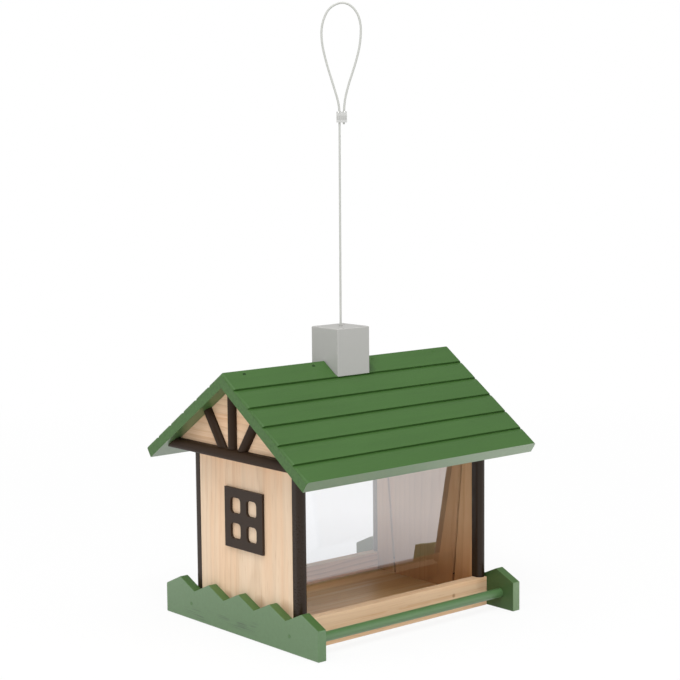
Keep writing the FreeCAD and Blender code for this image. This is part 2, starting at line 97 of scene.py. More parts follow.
class Finish:
    """A node tree: a material's, or the surroundings' own."""

    def __init__(self, name, owner=None):
        self.material = owner or bpy.data.materials.new(name)
        self.material.use_nodes = True
        self.tree = self.material.node_tree
        self.tree.nodes.clear()

    def node(self, kind, settings=None, sockets=None, out=0):
        """A node with its settings, then its sockets; a number stays on the socket and a wire is linked."""
        made = self.tree.nodes.new(kind)
        for name, setting in (settings or {}).items():
            if name == "stops":
                set_stops(made.color_ramp, setting)
            else:
                setattr(made, name, setting)
        for name, given in (sockets or {}).items():
            if isinstance(given, Wire):
                self.tree.links.new(given.socket, made.inputs[name])
            else:
                made.inputs[name].default_value = given
        return Wire(self, made.outputs[out])

    def mix(self, factor, first, second, how="MIX"):
        """A blend of two colours."""
        settings = {"data_type": "RGBA", "blend_type": how, "clamp_factor": True}
        return self.node("ShaderNodeMix", settings, {0: factor, 6: first, 7: second}, out=2)

    def ramp(self, value, stops):
        """A value led through several stops."""
        return self.node("ShaderNodeValToRGB", {"stops": stops}, {0: value})

    def rise(self, value, low, high, first=0.0, last=1.0):
        """What goes evenly from first to last while a value goes from low to high."""
        sockets = {0: value, 1: low, 2: high, 3: first, 4: last}
        return self.node("ShaderNodeMapRange", {"clamp": True}, sockets)

    def noise(self, place, scale, detail=3.0, roughness=0.5):
        sockets = {"Vector": place, "Scale": scale, "Detail": detail, "Roughness": roughness}
        return self.node("ShaderNodeTexNoise", {"noise_dimensions": "3D"}, sockets)

    def place(self):
        return self.node("ShaderNodeTexCoord", out="Object")

    def stretched(self, place, scale, shift=(0, 0, 0), turn=(0, 0, 0)):
        """Coordinates scaled, turned and shifted to suit a pattern."""
        sockets = {"Vector": place, "Location": shift, "Rotation": turn, "Scale": scale}
        return self.node("ShaderNodeMapping", {"vector_type": "POINT"}, sockets)

    def apart(self, vector):
        """The three parts of a vector."""
        made = self.node("ShaderNodeSeparateXYZ", None, {0: vector}).socket.node
        return [Wire(self, output) for output in made.outputs]

    def length(self, vector):
        return self.node("ShaderNodeVectorMath", {"operation": "LENGTH"}, {0: vector}, out="Value")

    def spot(self, place, reach):
        """A soft spot at a place, with its reach along each axis, in millimetres."""
        scale = [1000 / part for part in reach]
        shift = [-middle / part for middle, part in zip(place, reach)]
        away = self.length(self.stretched(self.place(), scale, shift))
        return self.ramp(away, [(0.0, 1.0), (0.5, 0.7), (1.0, 0.0)])

    def mark(self, name):
        """A face mark of the piece, from nought to one."""
        return self.node("ShaderNodeAttribute", {"attribute_name": name}, out="Fac")

    def seen_by(self, *kinds):
        """One for rays of the named kinds that no matt surface has scattered, nought for others."""
        path = self.node("ShaderNodeLightPath").socket.node
        rays = [Wire(self, path.outputs[f"Is {kind} Ray"]) for kind in kinds]
        total = rays[0]
        for ray in rays[1:]:
            total = total.larger(ray)
        return total * (1 - Wire(self, path.outputs["Diffuse Depth"])).larger(0.0)

    def bump(self, height, distance, strength):
        sockets = {"Height": height, "Distance": distance, "Strength": strength}
        return self.node("ShaderNodeBump", None, sockets)

    def surface(self, shader, kind="ShaderNodeOutputMaterial"):
        """The finished material, or the finished surroundings."""
        output = self.tree.nodes.new(kind)
        self.tree.links.new(shader.socket, output.inputs["Surface"])
        return self.material


def set_stops(ramp, stops):
    """Give a ramp its stops, each a position and a grey value."""
    while len(ramp.elements) < len(stops):
        ramp.elements.new(0.5)
    for element, (position, grey) in zip(ramp.elements, stops):
        element.position = position
        element.color = (grey, grey, grey, 1)


def colour(red, green, blue):
    return (red, green, blue, 1)


def darker(tone, share):
    return colour(*[part * share for part in tone[:3]])


WHITE = colour(1, 1, 1)

ROOF_GREEN = colour(0.046, 0.126, 0.022)
TRAY_GREEN = colour(0.064, 0.138, 0.036)
PERCH_GREEN = colour(0.087, 0.186, 0.065)
# Paler than the tray green, like the painted sheen of the boards' faces.
BOARD_NAIL_GREEN = colour(0.105, 0.2, 0.08)
RIDGE_NAIL_GREEN = colour(0.02, 0.055, 0.012)
WORN_AND_SHEEN_GREEN = colour(0.166, 0.268, 0.12)
WORN_AND_SHEEN_BLUISH = colour(0.14, 0.27, 0.126)
STAIN = colour(0.031, 0.0162, 0.0078)
POST_STAIN = colour(0.027, 0.0145, 0.007)
STAIN_WORN = colour(0.075, 0.045, 0.027)
GREY_COAT = colour(0.44, 0.435, 0.418)
GREY_WORN = colour(0.56, 0.555, 0.54)
CRACK_DARK = colour(0.002, 0.008, 0.002)

# Pale and dark tones of the grain. The inner pine is darker and warmer, as painted shade inside the house.
OUTER_PINE = (colour(0.88, 0.69, 0.51), colour(0.64, 0.45, 0.295))
SHADED_INNER_PINE = (colour(0.72, 0.46, 0.27), colour(0.5, 0.28, 0.14))
FLOOR_PINE = (colour(0.98, 0.64, 0.32), colour(0.72, 0.41, 0.165))
RAIL_PINE = (colour(0.87, 0.63, 0.42), colour(0.66, 0.42, 0.25))
REAR_PINE = (colour(1.0, 0.66, 0.45), colour(0.6, 0.33, 0.19))
GABLE_PINE = (colour(0.97, 0.715, 0.5), colour(0.68, 0.44, 0.265))

# What else tints the pine: painted shade near the floor, reddish heartwood, late wood, resin ducts, painted
# glints along the grain, and knots.
FLOOR_SHADE_TINT = colour(0.62, 0.46, 0.29)
HEARTWOOD = colour(1.0, 0.86, 0.74)
LATE_WOOD = colour(0.82, 0.66, 0.5)
RESIN_DUCT = colour(0.72, 0.58, 0.44)
GLINT = colour(1.0, 0.77, 0.55)
KNOT_BROWN = colour(0.27, 0.105, 0.028)

CLEAR = colour(0.985, 0.99, 0.995)
# Brown tint through the panes' sawn sides: painted shade of the grooves they sit in.
SIDE_SHADE_TINT = colour(0.45, 0.33, 0.24)
MIRROR = colour(0.98, 0.967, 0.98)

WIRE_JACKET = colour(0.47, 0.475, 0.45)
WIRE_STRAND = colour(0.51, 0.515, 0.485)
SLEEVE_METAL = colour(0.78, 0.78, 0.76)
# Painted shade of the sleeve's pressed band.
SLEEVE_PRESS_SHADE = colour(0.6, 0.6, 0.58)
STOP_METAL = colour(0.72, 0.72, 0.73)
STEEL = colour(0.42, 0.41, 0.4)
BROWNED_STEEL = colour(0.13, 0.06, 0.03)
FLOOR_MATT = colour(0.9, 0.9, 0.9)

# Knots, marks and painted shade of the pine: a place and a radius in millimetres, and a depth.
RAIL_KNOTS = [((64, -70.5, 15.2), 2.2, 0.7), ((97, -70.5, 20), 7, 0.16)]
# Painted shade in the floor's right corner, by the right wall.
FLOOR_CORNER_SHADE = [((104, 22, 9.5), 95, 0.6)]
# Darker brown spots at the foot of the left wall, just above the end board's valleys.
WALL_MARKS = [((-104.3, 24, 26), 7, 0.45), ((-104.3, -19, 27), 10, 0.5), ((-104.3, -53, 29), 11, 0.45)]
# Painted shade over the rear part of the left gable.
GABLE_SHADE = [((-114, 62, 158), 65, 0.25)]

# Patches of cracked paint on an end board: the distance out, the place along it and up, and the reach, in mm.
CRACK_PATCHES = [((119, 48, 8), (40, 34, 7)), ((119, -8, 11), (40, 40, 7))]

# Painted shadow of the chimney on both slopes beside it: its place and reach, in millimetres, and its depth.
SHADOW_ALONG = 20
SHADOW_OUT = 10
SHADOW_UP = 211
SHADOW_REACH = (9, 12, 12)
SHADOW_DEPTH = 0.6

# Turns that bring a board's grain to the Z axis of its pattern.
GRAIN_TURN = {"X": (0, math.radians(90), 0), "Y": (math.radians(90), 0, 0), "Z": (0, 0, 0)}

# Depth of colour across one year's ring.
RING_STOPS = [(0.0, 0.06), (0.5, 0.3), (0.84, 1.0), (0.93, 0.25), (1.0, 0.06)]

# How far the pith wanders, in millimetres, its rise along the grain, and how far a ring ripples.
PITH_SWAY = 16
PITH_RISE = 0.02
RING_RIPPLE = 0.5

# Spacing of the rings, in mm, in bare pine and in the wood under the paint.
PINE_RINGS = 4.6
PAINTED_RINGS = 7.0

# Heights between which painted shade near the floor gives way to clean wood, and dulled panes to polished
# ones.
FLOOR_SHADE_HEIGHTS = (25 * MM, 75 * MM)
DULL_HEIGHTS = (45.2 * MM, 46.8 * MM)
DULL_SHARE = 0.26

# Under the roof, the film and its painted sheen grow from the ridge towards the eaves; the painted sheen is
# stronger to the right.
FILM_REACH = (25 * MM, 75 * MM)
FILM_AT_RIDGE = 0.35
SHEEN_SLOPE = 4


class Grain:
    """Figure of a board whose grain runs along an axis, with its pith's place and ring spacing in mm."""

    def __init__(self, finish, along, pith, spacing):
        turned = finish.stretched(finish.place(), (1000, 1000, 1000), turn=GRAIN_TURN[along])
        self.finish = finish
        self.place = finish.stretched(turned, (1, 1, 1), shift=pith)
        across, deep, length = finish.apart(self.place)
        sway = self.cloud(across=0.012, along=0.004, detail=2.0)
        across = across + (sway - 0.5) * PITH_SWAY
        deep = deep + length * PITH_RISE
        reach = (across * across + deep * deep) ** 0.5
        ripple = self.cloud(across=0.09, along=0.012)
        ring = (reach / spacing + ripple * RING_RIPPLE).fraction()
        self.rings = finish.ramp(ring, RING_STOPS) * (0.35 + self.cloud(across=0.05, along=0.006) * 1.2)
        self.fibres = self.cloud(across=2.2, along=0.035, detail=4.0, roughness=0.6)
        self.clouds = self.cloud(across=0.03, along=0.012)

    def cloud(self, across, along, detail=3.0, roughness=0.5):
        """Noise with so many spots to the millimetre across the grain and along it."""
        stretched = self.finish.stretched(self.place, (across, across, along))
        return self.finish.noise(stretched, 1.0, detail, roughness)

    def lines(self, across, along, width):
        """Fine winding lines along the grain, which come and go."""
        winding = (self.cloud(across, along, detail=1.0) - 0.5).size()
        thin = self.finish.ramp(winding, [(0.0, 1.0), (width * 0.4, 0.7), (width, 0.0)])
        return thin * self.finish.rise(self.cloud(across=0.1, along=0.03, detail=2.0), 0.46, 0.56)


def bare_pine(name, along, pith, outside, inside=None, strength=0.25, knots=(), floor_shade=0.8, glints=0.0,
              sheen=0.15, roughness=0.52):
    """Planed pine, pale on its outer faces; inside, painted shade darkens it near the floor.

    Its outside and inside are each a pale and a dark tone.
    """
    finish = Finish(name)
    grain = Grain(finish, along, pith, PINE_RINGS)
    streak = 0.2 + grain.rings * strength + (grain.fibres - 0.5) * 0.4 + (grain.clouds - 0.5) * 0.6
    tint = finish.mix(streak, *outside)
    if inside:
        # Painted shade: the inside tones darken towards the floor.
        height = finish.apart(finish.place())[2]
        low_shade = finish.rise(height, *FLOOR_SHADE_HEIGHTS, floor_shade, 0.0)
        warm = finish.mix(low_shade, finish.mix(streak, *inside), FLOOR_SHADE_TINT, "MULTIPLY")
        tint = finish.mix(finish.mark("outer"), warm, tint)
    reddish = finish.rise(grain.cloud(across=0.075, along=0.004, detail=2.0), 0.48, 0.66)
    tint = finish.mix(reddish * 0.5, tint, HEARTWOOD, "MULTIPLY")
    late = grain.lines(across=0.22, along=0.003, width=0.022)
    tint = finish.mix(late * 0.5, tint, LATE_WOOD, "MULTIPLY")
    ducts = finish.rise(grain.cloud(across=1.5, along=0.06, detail=1.0), 0.66, 0.74)
    tint = finish.mix(ducts * 0.4, tint, RESIN_DUCT, "MULTIPLY")
    # Painted glints: bright streaks along the grain stand in for sheen.
    if glints:
        bright = finish.rise(grain.cloud(across=0.11, along=0.004), 0.53, 0.62)
        tint = finish.mix(bright * glints, tint, GLINT)
    for place, radius, depth in knots:
        tint = finish.mix(finish.spot(place, [radius] * 3) * depth, tint, KNOT_BROWN)
    tint = finish.mix(finish.mark("edge") * 0.2, tint, outside[0])
    shader = finish.node("ShaderNodeBsdfPrincipled", None, {
        "Base Color": tint,
        "Roughness": roughness + grain.fibres * 0.16,
        "Specular IOR Level": sheen,
        "Normal": finish.bump(grain.fibres * 0.6 - grain.rings * 0.4, 0.06 * MM, 0.5),
    })
    return finish.surface(shader)


def painted(name, along, pith, coat, worn_and_sheen, shine=0.5, roughness=0.5, streaks=0.1, wear=0.12, cracks=(),
            film=False, gloss=1.5, inside=1.0, painted_sheen=0.0, painted_shadow=()):
    """Brushed paint over planed wood.

    The grain beneath marks it faintly, edges wear paler and end grain is mottled. Inner faces may take
    painted shade. Paint with a film mirrors softly on its outer faces and carries a painted sheen there.
    A patch of cracks or of painted shadow is a place and its reach, in millimetres, and shadow has a depth
    too.
    """
    finish = Finish(name)
    grain = Grain(finish, along, pith, PAINTED_RINGS)
    brushed = (grain.fibres - 0.5 + grain.clouds - 0.5) * (streaks * 1.6)
    blotch = finish.noise(finish.place(), 420, 4.0, 0.65)
    mottled = finish.mark("end") * (blotch - 0.54) * 1.1
    shade = 1 + brushed - grain.rings * (streaks * 0.3) + mottled
    # Painted shade: inner faces are darkened by a share.
    if inside != 1.0:
        shade = shade * (1 - finish.mark("inner") * (1 - inside))
    toned = finish.mix(1.0, coat, shade, "MULTIPLY")
    wear_and_sheen = finish.mark("edge") * wear
    filmed = 0.0
    if film:
        across, away = finish.apart(finish.place())[:2]
        under = finish.mark("under") * finish.rise(away.size(), *FILM_REACH, FILM_AT_RIDGE, 1.0)
        filmed = finish.mark("outer") + under
        # Painted sheen: outer faces, the underside and end grain turn paler, more towards the right.
        sheen_faces = finish.mark("outer") + under * 1.3 + finish.mark("end") * 0.32
        wear_and_sheen = wear_and_sheen + sheen_faces * (1 + across * SHEEN_SLOPE) * painted_sheen
    toned = finish.mix(wear_and_sheen * (0.4 + blotch * 1.2), toned, worn_and_sheen)
    # Painted shadow: darker patches of the coat.
    for place, reach, depth in painted_shadow:
        toned = finish.mix(finish.spot(place, reach) * depth, toned, darker(coat, 0.3))
    for place, reach in cracks:
        lines = grain.lines(across=0.7, along=0.014, width=0.075)
        toned = finish.mix(lines * finish.spot(place, reach), toned, CRACK_DARK)
    specks = finish.noise(finish.place(), 900, 2.0)
    shader = finish.node("ShaderNodeBsdfPrincipled", None, {
        "Base Color": toned,
        "Roughness": roughness + (grain.clouds - 0.5) * 0.1 + (specks - 0.5) * 0.12,
        "Specular IOR Level": shine,
        "Coat Weight": filmed,
        "Coat Roughness": 0.35,
        "Coat IOR": gloss,
        "Normal": finish.bump(grain.fibres * 0.7 + specks * 0.4 - grain.rings * 0.25, 0.08 * MM, 0.5),
    })
    return finish.surface(shader)


def clear_sheet(name, mirror, through=CLEAR, edge_on=0.4):
    """Clear polished sheet, dulled by seed along its foot, which mirrors more towards a flat view."""
    finish = Finish(name)
    flatness = finish.node("ShaderNodeLayerWeight", None, {"Blend": 0.5}, out="Facing")
    behind = finish.node("ShaderNodeNewGeometry", out="Backfacing")
    dust = finish.noise(finish.place(), 60, 4.0)
    polish = finish.rise(finish.apart(finish.place())[2], *DULL_HEIGHTS, DULL_SHARE, 1.0)
    share = (mirror + flatness ** 3 * edge_on + (dust - 0.5) * 0.02) * (1 - behind * 0.85) * polish
    polished = finish.node("ShaderNodeBsdfPrincipled", None, {
        "Base Color": MIRROR,
        "Metallic": 1.0,
        "Roughness": 0.015 + dust * 0.01,
    })
    clear = finish.node("ShaderNodeBsdfTransparent", None, {"Color": through})
    return finish.surface(finish.node("ShaderNodeMixShader", None, {0: share, 1: clear, 2: polished}))


def plain_metal(name, tone, roughness, pressed=None):
    """Dull metal with fine drawn marks, and painted shade where it is pressed in."""
    finish = Finish(name)
    marks = finish.noise(finish.stretched(finish.place(), (700, 700, 2500)), 1.0, 4.0)
    tint = finish.mix(marks, darker(tone, 0.8), tone)
    # Painted shade in the pressed band.
    if pressed:
        tint = finish.mix(finish.mark("pressed"), tint, pressed)
    shader = finish.node("ShaderNodeBsdfPrincipled", None, {
        "Base Color": tint,
        "Metallic": 1.0,
        "Roughness": roughness + (marks - 0.5) * 0.2,
        "Normal": finish.bump(marks, 0.03 * MM, 0.5),
    })
    return finish.surface(shader)


def coated_wire(name):
    """Fine twisted wire in a pale clear jacket; the strands show faintly along the piece's own map."""
    finish = Finish(name)
    along, around = finish.apart(finish.node("ShaderNodeTexCoord", out="UV"))[:2]
    twist = (along * 60 + around * 6).fraction()
    strand = finish.ramp((twist - 0.5).size() * 2, [(0.0, 1.0), (0.7, 0.75), (1.0, 0.0)])
    shader = finish.node("ShaderNodeBsdfPrincipled", None, {
        "Base Color": finish.mix(strand, WIRE_JACKET, WIRE_STRAND),
        "Roughness": 0.34 + strand * 0.1,
        "Specular IOR Level": 0.5,
        "Normal": finish.bump(strand, 0.03 * MM, 0.3),
    })
    return finish.surface(shader)


LEFT = (-1, 0, 0)
RIGHT = (1, 0, 0)
FRONT = (0, -1, 0)
REAR = (0, 1, 0)
UP = (0, 0, 1)
DOWN = (0, 0, -1)

# Degrees between two faces: sharper edges are eased, and blunter ones are shaded smooth.
EASED_ABOVE = 30
SMOOTH_BELOW = 35
SLEEVE_SMOOTH_BELOW = 50


def show(piece, body):
    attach(piece, body)


def link(thing):
    bpy.context.scene.collection.objects.link(thing)


def new_piece(name, mesh, materials):
    piece = bpy.data.objects.new(name, mesh)
    link(piece)
    for material in materials:
        mesh.materials.append(material)
    return piece


def finish_mesh(bm, name, smooth_below=SMOOTH_BELOW):
    """Turn a bmesh into a mesh with crisp creases."""
    mesh = bpy.data.meshes.new(name)
    for face in bm.faces:
        face.smooth = True
    for edge in bm.edges:
        edge.smooth = len(edge.link_faces) == 2 and edge.calc_face_angle(0) < math.radians(smooth_below)
    bm.to_mesh(mesh)
    bm.free()
    return mesh


def node_bmesh(node):
    """A merged copy of a CAD node's mesh, with its flat faces whole again."""
    bm = bmesh.new()
    bm.from_mesh(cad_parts[node].data)
    bmesh.ops.remove_doubles(bm, verts=bm.verts[:], dist=1e-6)
    bmesh.ops.dissolve_limit(bm, angle_limit=math.radians(0.5), verts=bm.verts[:], edges=bm.edges[:])
    return bm


def ease(bm, width, segments, shortest=0.0, farther=0.0):
    """Round the sharp edges over and mark the new faces, so that paint can wear there.

    Edges that are too short, or not so far out along X, stay square.
    """
    mark = bm.faces.layers.float.new("edge")
    sharp = [
        edge for edge in bm.edges
        if len(edge.link_faces) == 2
        and edge.calc_face_angle(0) > math.radians(EASED_ABOVE)
        and edge.calc_length() > shortest
        and abs(edge.verts[0].co.x + edge.verts[1].co.x) >= 2 * farther
    ]
    made = bmesh.ops.bevel(bm, geom=sharp, offset=width, offset_type="OFFSET", segments=segments,
                           profile=0.5, affect="EDGES", clamp_overlap=True, material=-1)
    for face in made["faces"]:
        face[mark] = 1.0


def mark_faces(bm, name, directions, beyond=0.0):
    """Mark the faces that look one of the given ways and lie so far out along Y.

    The mark fades over rounded edges.
    """
    mark = bm.faces.layers.float.new(name)
    bm.normal_update()
    ways = [Vector(way).normalized() for way in directions]
    for face in bm.faces:
        best = max(face.normal.dot(way) for way in ways)
        if abs(face.calc_center_median().y) >= beyond:
            face[mark] = min(1.0, max(0.0, (best - 0.55) / 0.4))


def board(node, body, slot, material, width=0.6 * MM, segments=2, shortest=0.0, farther=0.0, beyond=0.0,
          **marks):
    """A wooden piece with eased edges in place of its square-cut solid.

    Each mark lists the ways that its faces look; those marked outer also lie beyond a distance along Y.
    """
    bm = node_bmesh(node)
    ease(bm, width, segments, shortest, farther)
    for mark, ways in marks.items():
        mark_faces(bm, mark, ways, beyond if mark == "outer" else 0.0)
    piece = new_piece(node + "_eased", finish_mesh(bm, node + "_eased"), [material])
    flat = piece.modifiers.new("flat_faces", "WEIGHTED_NORMAL")
    flat.keep_sharp = True
    show(piece, body)
    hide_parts(node)


def make_tray():
    floor = bare_pine("pine_floor", "X", (12, 70, 0), FLOOR_PINE, strength=0.4, knots=FLOOR_CORNER_SHADE,
                      glints=0.7, sheen=0.6, roughness=0.3)
    board("floor_board", "house", "bare_pine", floor)
    rails = (
        ("front", (30, 60, 0), SHADED_INNER_PINE, 0.2, 0.8, RAIL_KNOTS, FRONT),
        ("rear", (52, -40, 90), REAR_PINE, 0.6, 0.2, [], REAR),
    )
    for side, pith, inside, strength, floor_shade, knots, way in rails:
        pine = bare_pine(f"pine_{side}_rail", "X", pith, RAIL_PINE, inside, strength, knots, floor_shade)
        board(f"{side}_rail", "house", "bare_pine", pine, outer=(way, UP, DOWN, LEFT, RIGHT))
    end_boards = (
        ("left", (9, 40, 0), LEFT, RIGHT, WORN_AND_SHEEN_BLUISH, 0.66),
        ("right", (-14, 33, 150), RIGHT, LEFT, WORN_AND_SHEEN_GREEN, 0.5),
    )
    for side, pith, out, back, worn_and_sheen, painted_sheen in end_boards:
        cracks = [((out[0] * away, along, up), reach) for (away, along, up), reach in CRACK_PATCHES]
        # The outer faces carry a painted sheen.
        paint = painted(f"green_{side}_end_board", "Y", pith, TRAY_GREEN, worn_and_sheen, roughness=0.45, streaks=0.08,
                        wear=0.1, cracks=cracks, film=True, inside=0.7, painted_sheen=painted_sheen)
        # The inner face is painted darker, as painted shade.
        board(f"{side}_end_board", "house", "green_paint", paint, width=0.7 * MM, shortest=4 * MM,
              outer=(out, FRONT, REAR), inner=(back,))
    for side, pith in (("front", (5, 9, 40)), ("rear", (8, -12, 0))):
        paint = painted(f"green_{side}_perch", "X", pith, PERCH_GREEN, WORN_AND_SHEEN_BLUISH, roughness=0.34,
                        streaks=0.16, film=True)
        board(f"{side}_perch", "house", "green_paint", paint, width=0.3 * MM, outer=(FRONT, REAR))


def make_walls():
    walls = (("left", (48, 16, 0), LEFT, WALL_MARKS), ("right", (-38, 24, 60), RIGHT, []))
    for side, pith, way, knots in walls:
        pine = bare_pine(f"pine_{side}_wall", "Z", pith, OUTER_PINE, SHADED_INNER_PINE, strength=0.3, knots=knots)
        board(f"{side}_end_wall", "house", "bare_pine", pine, width=0.4 * MM, shortest=3 * MM,
              farther=101 * MM, outer=(way,))
        stain = painted(f"stain_{side}_window", "Z", pith, STAIN, STAIN_WORN, shine=0.32, streaks=0.3)
        board(f"{side}_window_frame", "house", "dark_stain", stain, width=0.4 * MM)
    for number, place in enumerate(("front_left", "front_right", "rear_left", "rear_right")):
        pith = (20 + 7 * number, 11, 30 * number)
        stain = painted(f"stain_{place}_post", "Z", pith, POST_STAIN, STAIN_WORN, shine=0.28, roughness=0.3,
                        streaks=0.3)
        board(f"{place}_post", "house", "dark_stain", stain, width=0.35 * MM)
    carrier = bare_pine("pine_carrier", "X", (15, 22, 40), SHADED_INNER_PINE)
    board("carrier_bar", "house", "bare_pine", carrier, width=0.5 * MM, shortest=3 * MM)


# Slots of a pane's looks.
OUTSIDE, INSIDE, SAWN, RIM = range(4)


def make_panes():
    looks = [
        clear_sheet("clear_outside", 0.36),
        clear_sheet("clear_inside", 0.03),
        # The sawn sides pass light tinted brown, as painted shade.
        clear_sheet("clear_side", 0.02, SIDE_SHADE_TINT, edge_on=0.0),
        clear_sheet("clear_rim", 0.02, edge_on=0.0),
    ]
    for side, way in (("front", -1), ("rear", 1)):
        node = side + "_pane"
        bm = node_bmesh(node)
        largest = max(face.calc_area() for face in bm.faces)
        ease(bm, width=0.15 * MM, segments=1)
        for face in bm.faces:
            if face.calc_area() < 0.5 * largest:
                face.material_index = SAWN if abs(face.normal.x) > 0.5 else RIM
            else:
                face.material_index = OUTSIDE if face.normal.y * way > 0 else INSIDE
        piece = new_piece(node + "_clear", finish_mesh(bm, node + "_clear"), looks)
        show(piece, "house")
        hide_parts(node)


ROOF_PITCH = math.radians(34.5)

# The eaves' faces lie beyond this distance from the ridge, and the risers of the grooves before it.
EAVE_BEYOND = 98 * MM


def make_roof():
    for side, pith, way in (("front", (60, 40, 0), -1), ("rear", (-45, 66, 120), 1)):
        # Painted shadow beside the chimney.
        painted_shadow = [((SHADOW_ALONG, way * SHADOW_OUT, SHADOW_UP), SHADOW_REACH, SHADOW_DEPTH)]
        # Painted sheen on the eaves, the underside and the ends.
        paint = painted(f"green_{side}_roof", "X", pith, ROOF_GREEN, WORN_AND_SHEEN_GREEN, streaks=0.13, wear=0.1,
                        film=True, gloss=2.22, painted_sheen=0.42, painted_shadow=painted_shadow)
        eave = (0, way * math.cos(ROOF_PITCH), -math.sin(ROOF_PITCH))
        under = (0, -way * math.sin(ROOF_PITCH), -math.cos(ROOF_PITCH))
        board(f"{side}_roof_panel", "roof", "green_paint", paint, width=0.35 * MM, shortest=3 * MM,
              beyond=EAVE_BEYOND, outer=(eave,), under=(under,), end=(LEFT, RIGHT))
    grey = painted("grey_chimney", "Z", (22, 18, 0), GREY_COAT, GREY_WORN, shine=0.35, roughness=0.6,
                   streaks=0.03, wear=0.3)
    board("chimney", "roof", "grey_paint", grey, width=0.9 * MM, segments=3, shortest=30 * MM)
    for side, pith, marks in (("left", (28, 60, 0), GABLE_SHADE), ("right", (-30, 48, 80), [])):
        pine = bare_pine(f"pine_{side}_gable", "Y", pith, GABLE_PINE, strength=0.45, knots=marks)
        board(f"{side}_gable_panel", "roof", "bare_pine", pine, width=0.3 * MM)
        struts = (("tie_beam", "Y"), ("king_post", "Z"), ("front_brace", "Z"), ("rear_brace", "Z"))
        for strut, along in struts:
            stain = painted(f"stain_{side}_{strut}", along, pith, STAIN, STAIN_WORN, shine=0.15,
                            roughness=0.52, streaks=0.3)
            board(f"{side}_{strut}", "roof", "dark_stain", stain, width=0.3 * MM)


# Route of the wire: across from its foot, and up, in millimetres.
CORD_ROUTE = [
    (0, 162.4), (0.94, 414.6), (1, 430.1), (-3.4, 445.3), (-9.9, 466.4), (-13.6, 483.8), (-13.1, 497.4),
    (-7.4, 510.5), (4.1, 515.6), (13.5, 511), (19.4, 499.7), (19.1, 482.7), (15, 465.7), (7.8, 445.2),
    (4.5, 430.1), (4.5, 414.8),
]
LOOP_TURN = math.radians(40.5)
WIRE_RADIUS = 0.9 * MM


def make_wire():
    line = bpy.data.curves.new("hanging_wire", "CURVE")
    line.dimensions = "3D"
    spline = line.splines.new("NURBS")
    spline.points.add(len(CORD_ROUTE) - 1)
    for point, (across, up) in zip(spline.points, CORD_ROUTE):
        place = Vector((across * math.cos(LOOP_TURN), -across * math.sin(LOOP_TURN), up)) * MM
        point.co = (*place, 1)
    spline.order_u = 3
    spline.use_endpoint_u = True
    spline.resolution_u = 12
    line.bevel_depth = WIRE_RADIUS
    line.bevel_resolution = 4
    line.use_fill_caps = True
    wire = bpy.data.objects.new("hanging_wire", line)
    link(wire)
    line.materials.append(coated_wire("pale_wire"))
    show(wire, "house")
    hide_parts("hanging_cord")
    make_sleeve()


# The sleeve, in millimetres: the radius of its round sides, their distance out, and its place on the wires.
SLEEVE_RADIUS = 2.07
SLEEVE_SPREAD = 2.3
SLEEVE_PLACE = (2.75, 0, 416.3)

# Short edges that make its round sides, and cuts along each flat one.
SLEEVE_EDGES = 32
SLEEVE_CUTS = 5

# Shares of its depth: drawn in between the wires, at its lower rim, and where it counts as pressed.
SLEEVE_WAIST = 0.4
SLEEVE_RIM = 0.9
PRESSED_BELOW = 0.95

# Its width changes by this share of a change in its depth.
PRESS_NARROWS = 0.15

# Heights up the sleeve, with its depth there as a share of the whole: a broad band is pressed in.
SLEEVE_PRESS = [
    (0.5, 1.0), (2.3, 1.0), (3.2, 0.94), (5.8, 0.94), (6.7, 1.0), (8.5, 1.0), (9.0, 0.9),
]


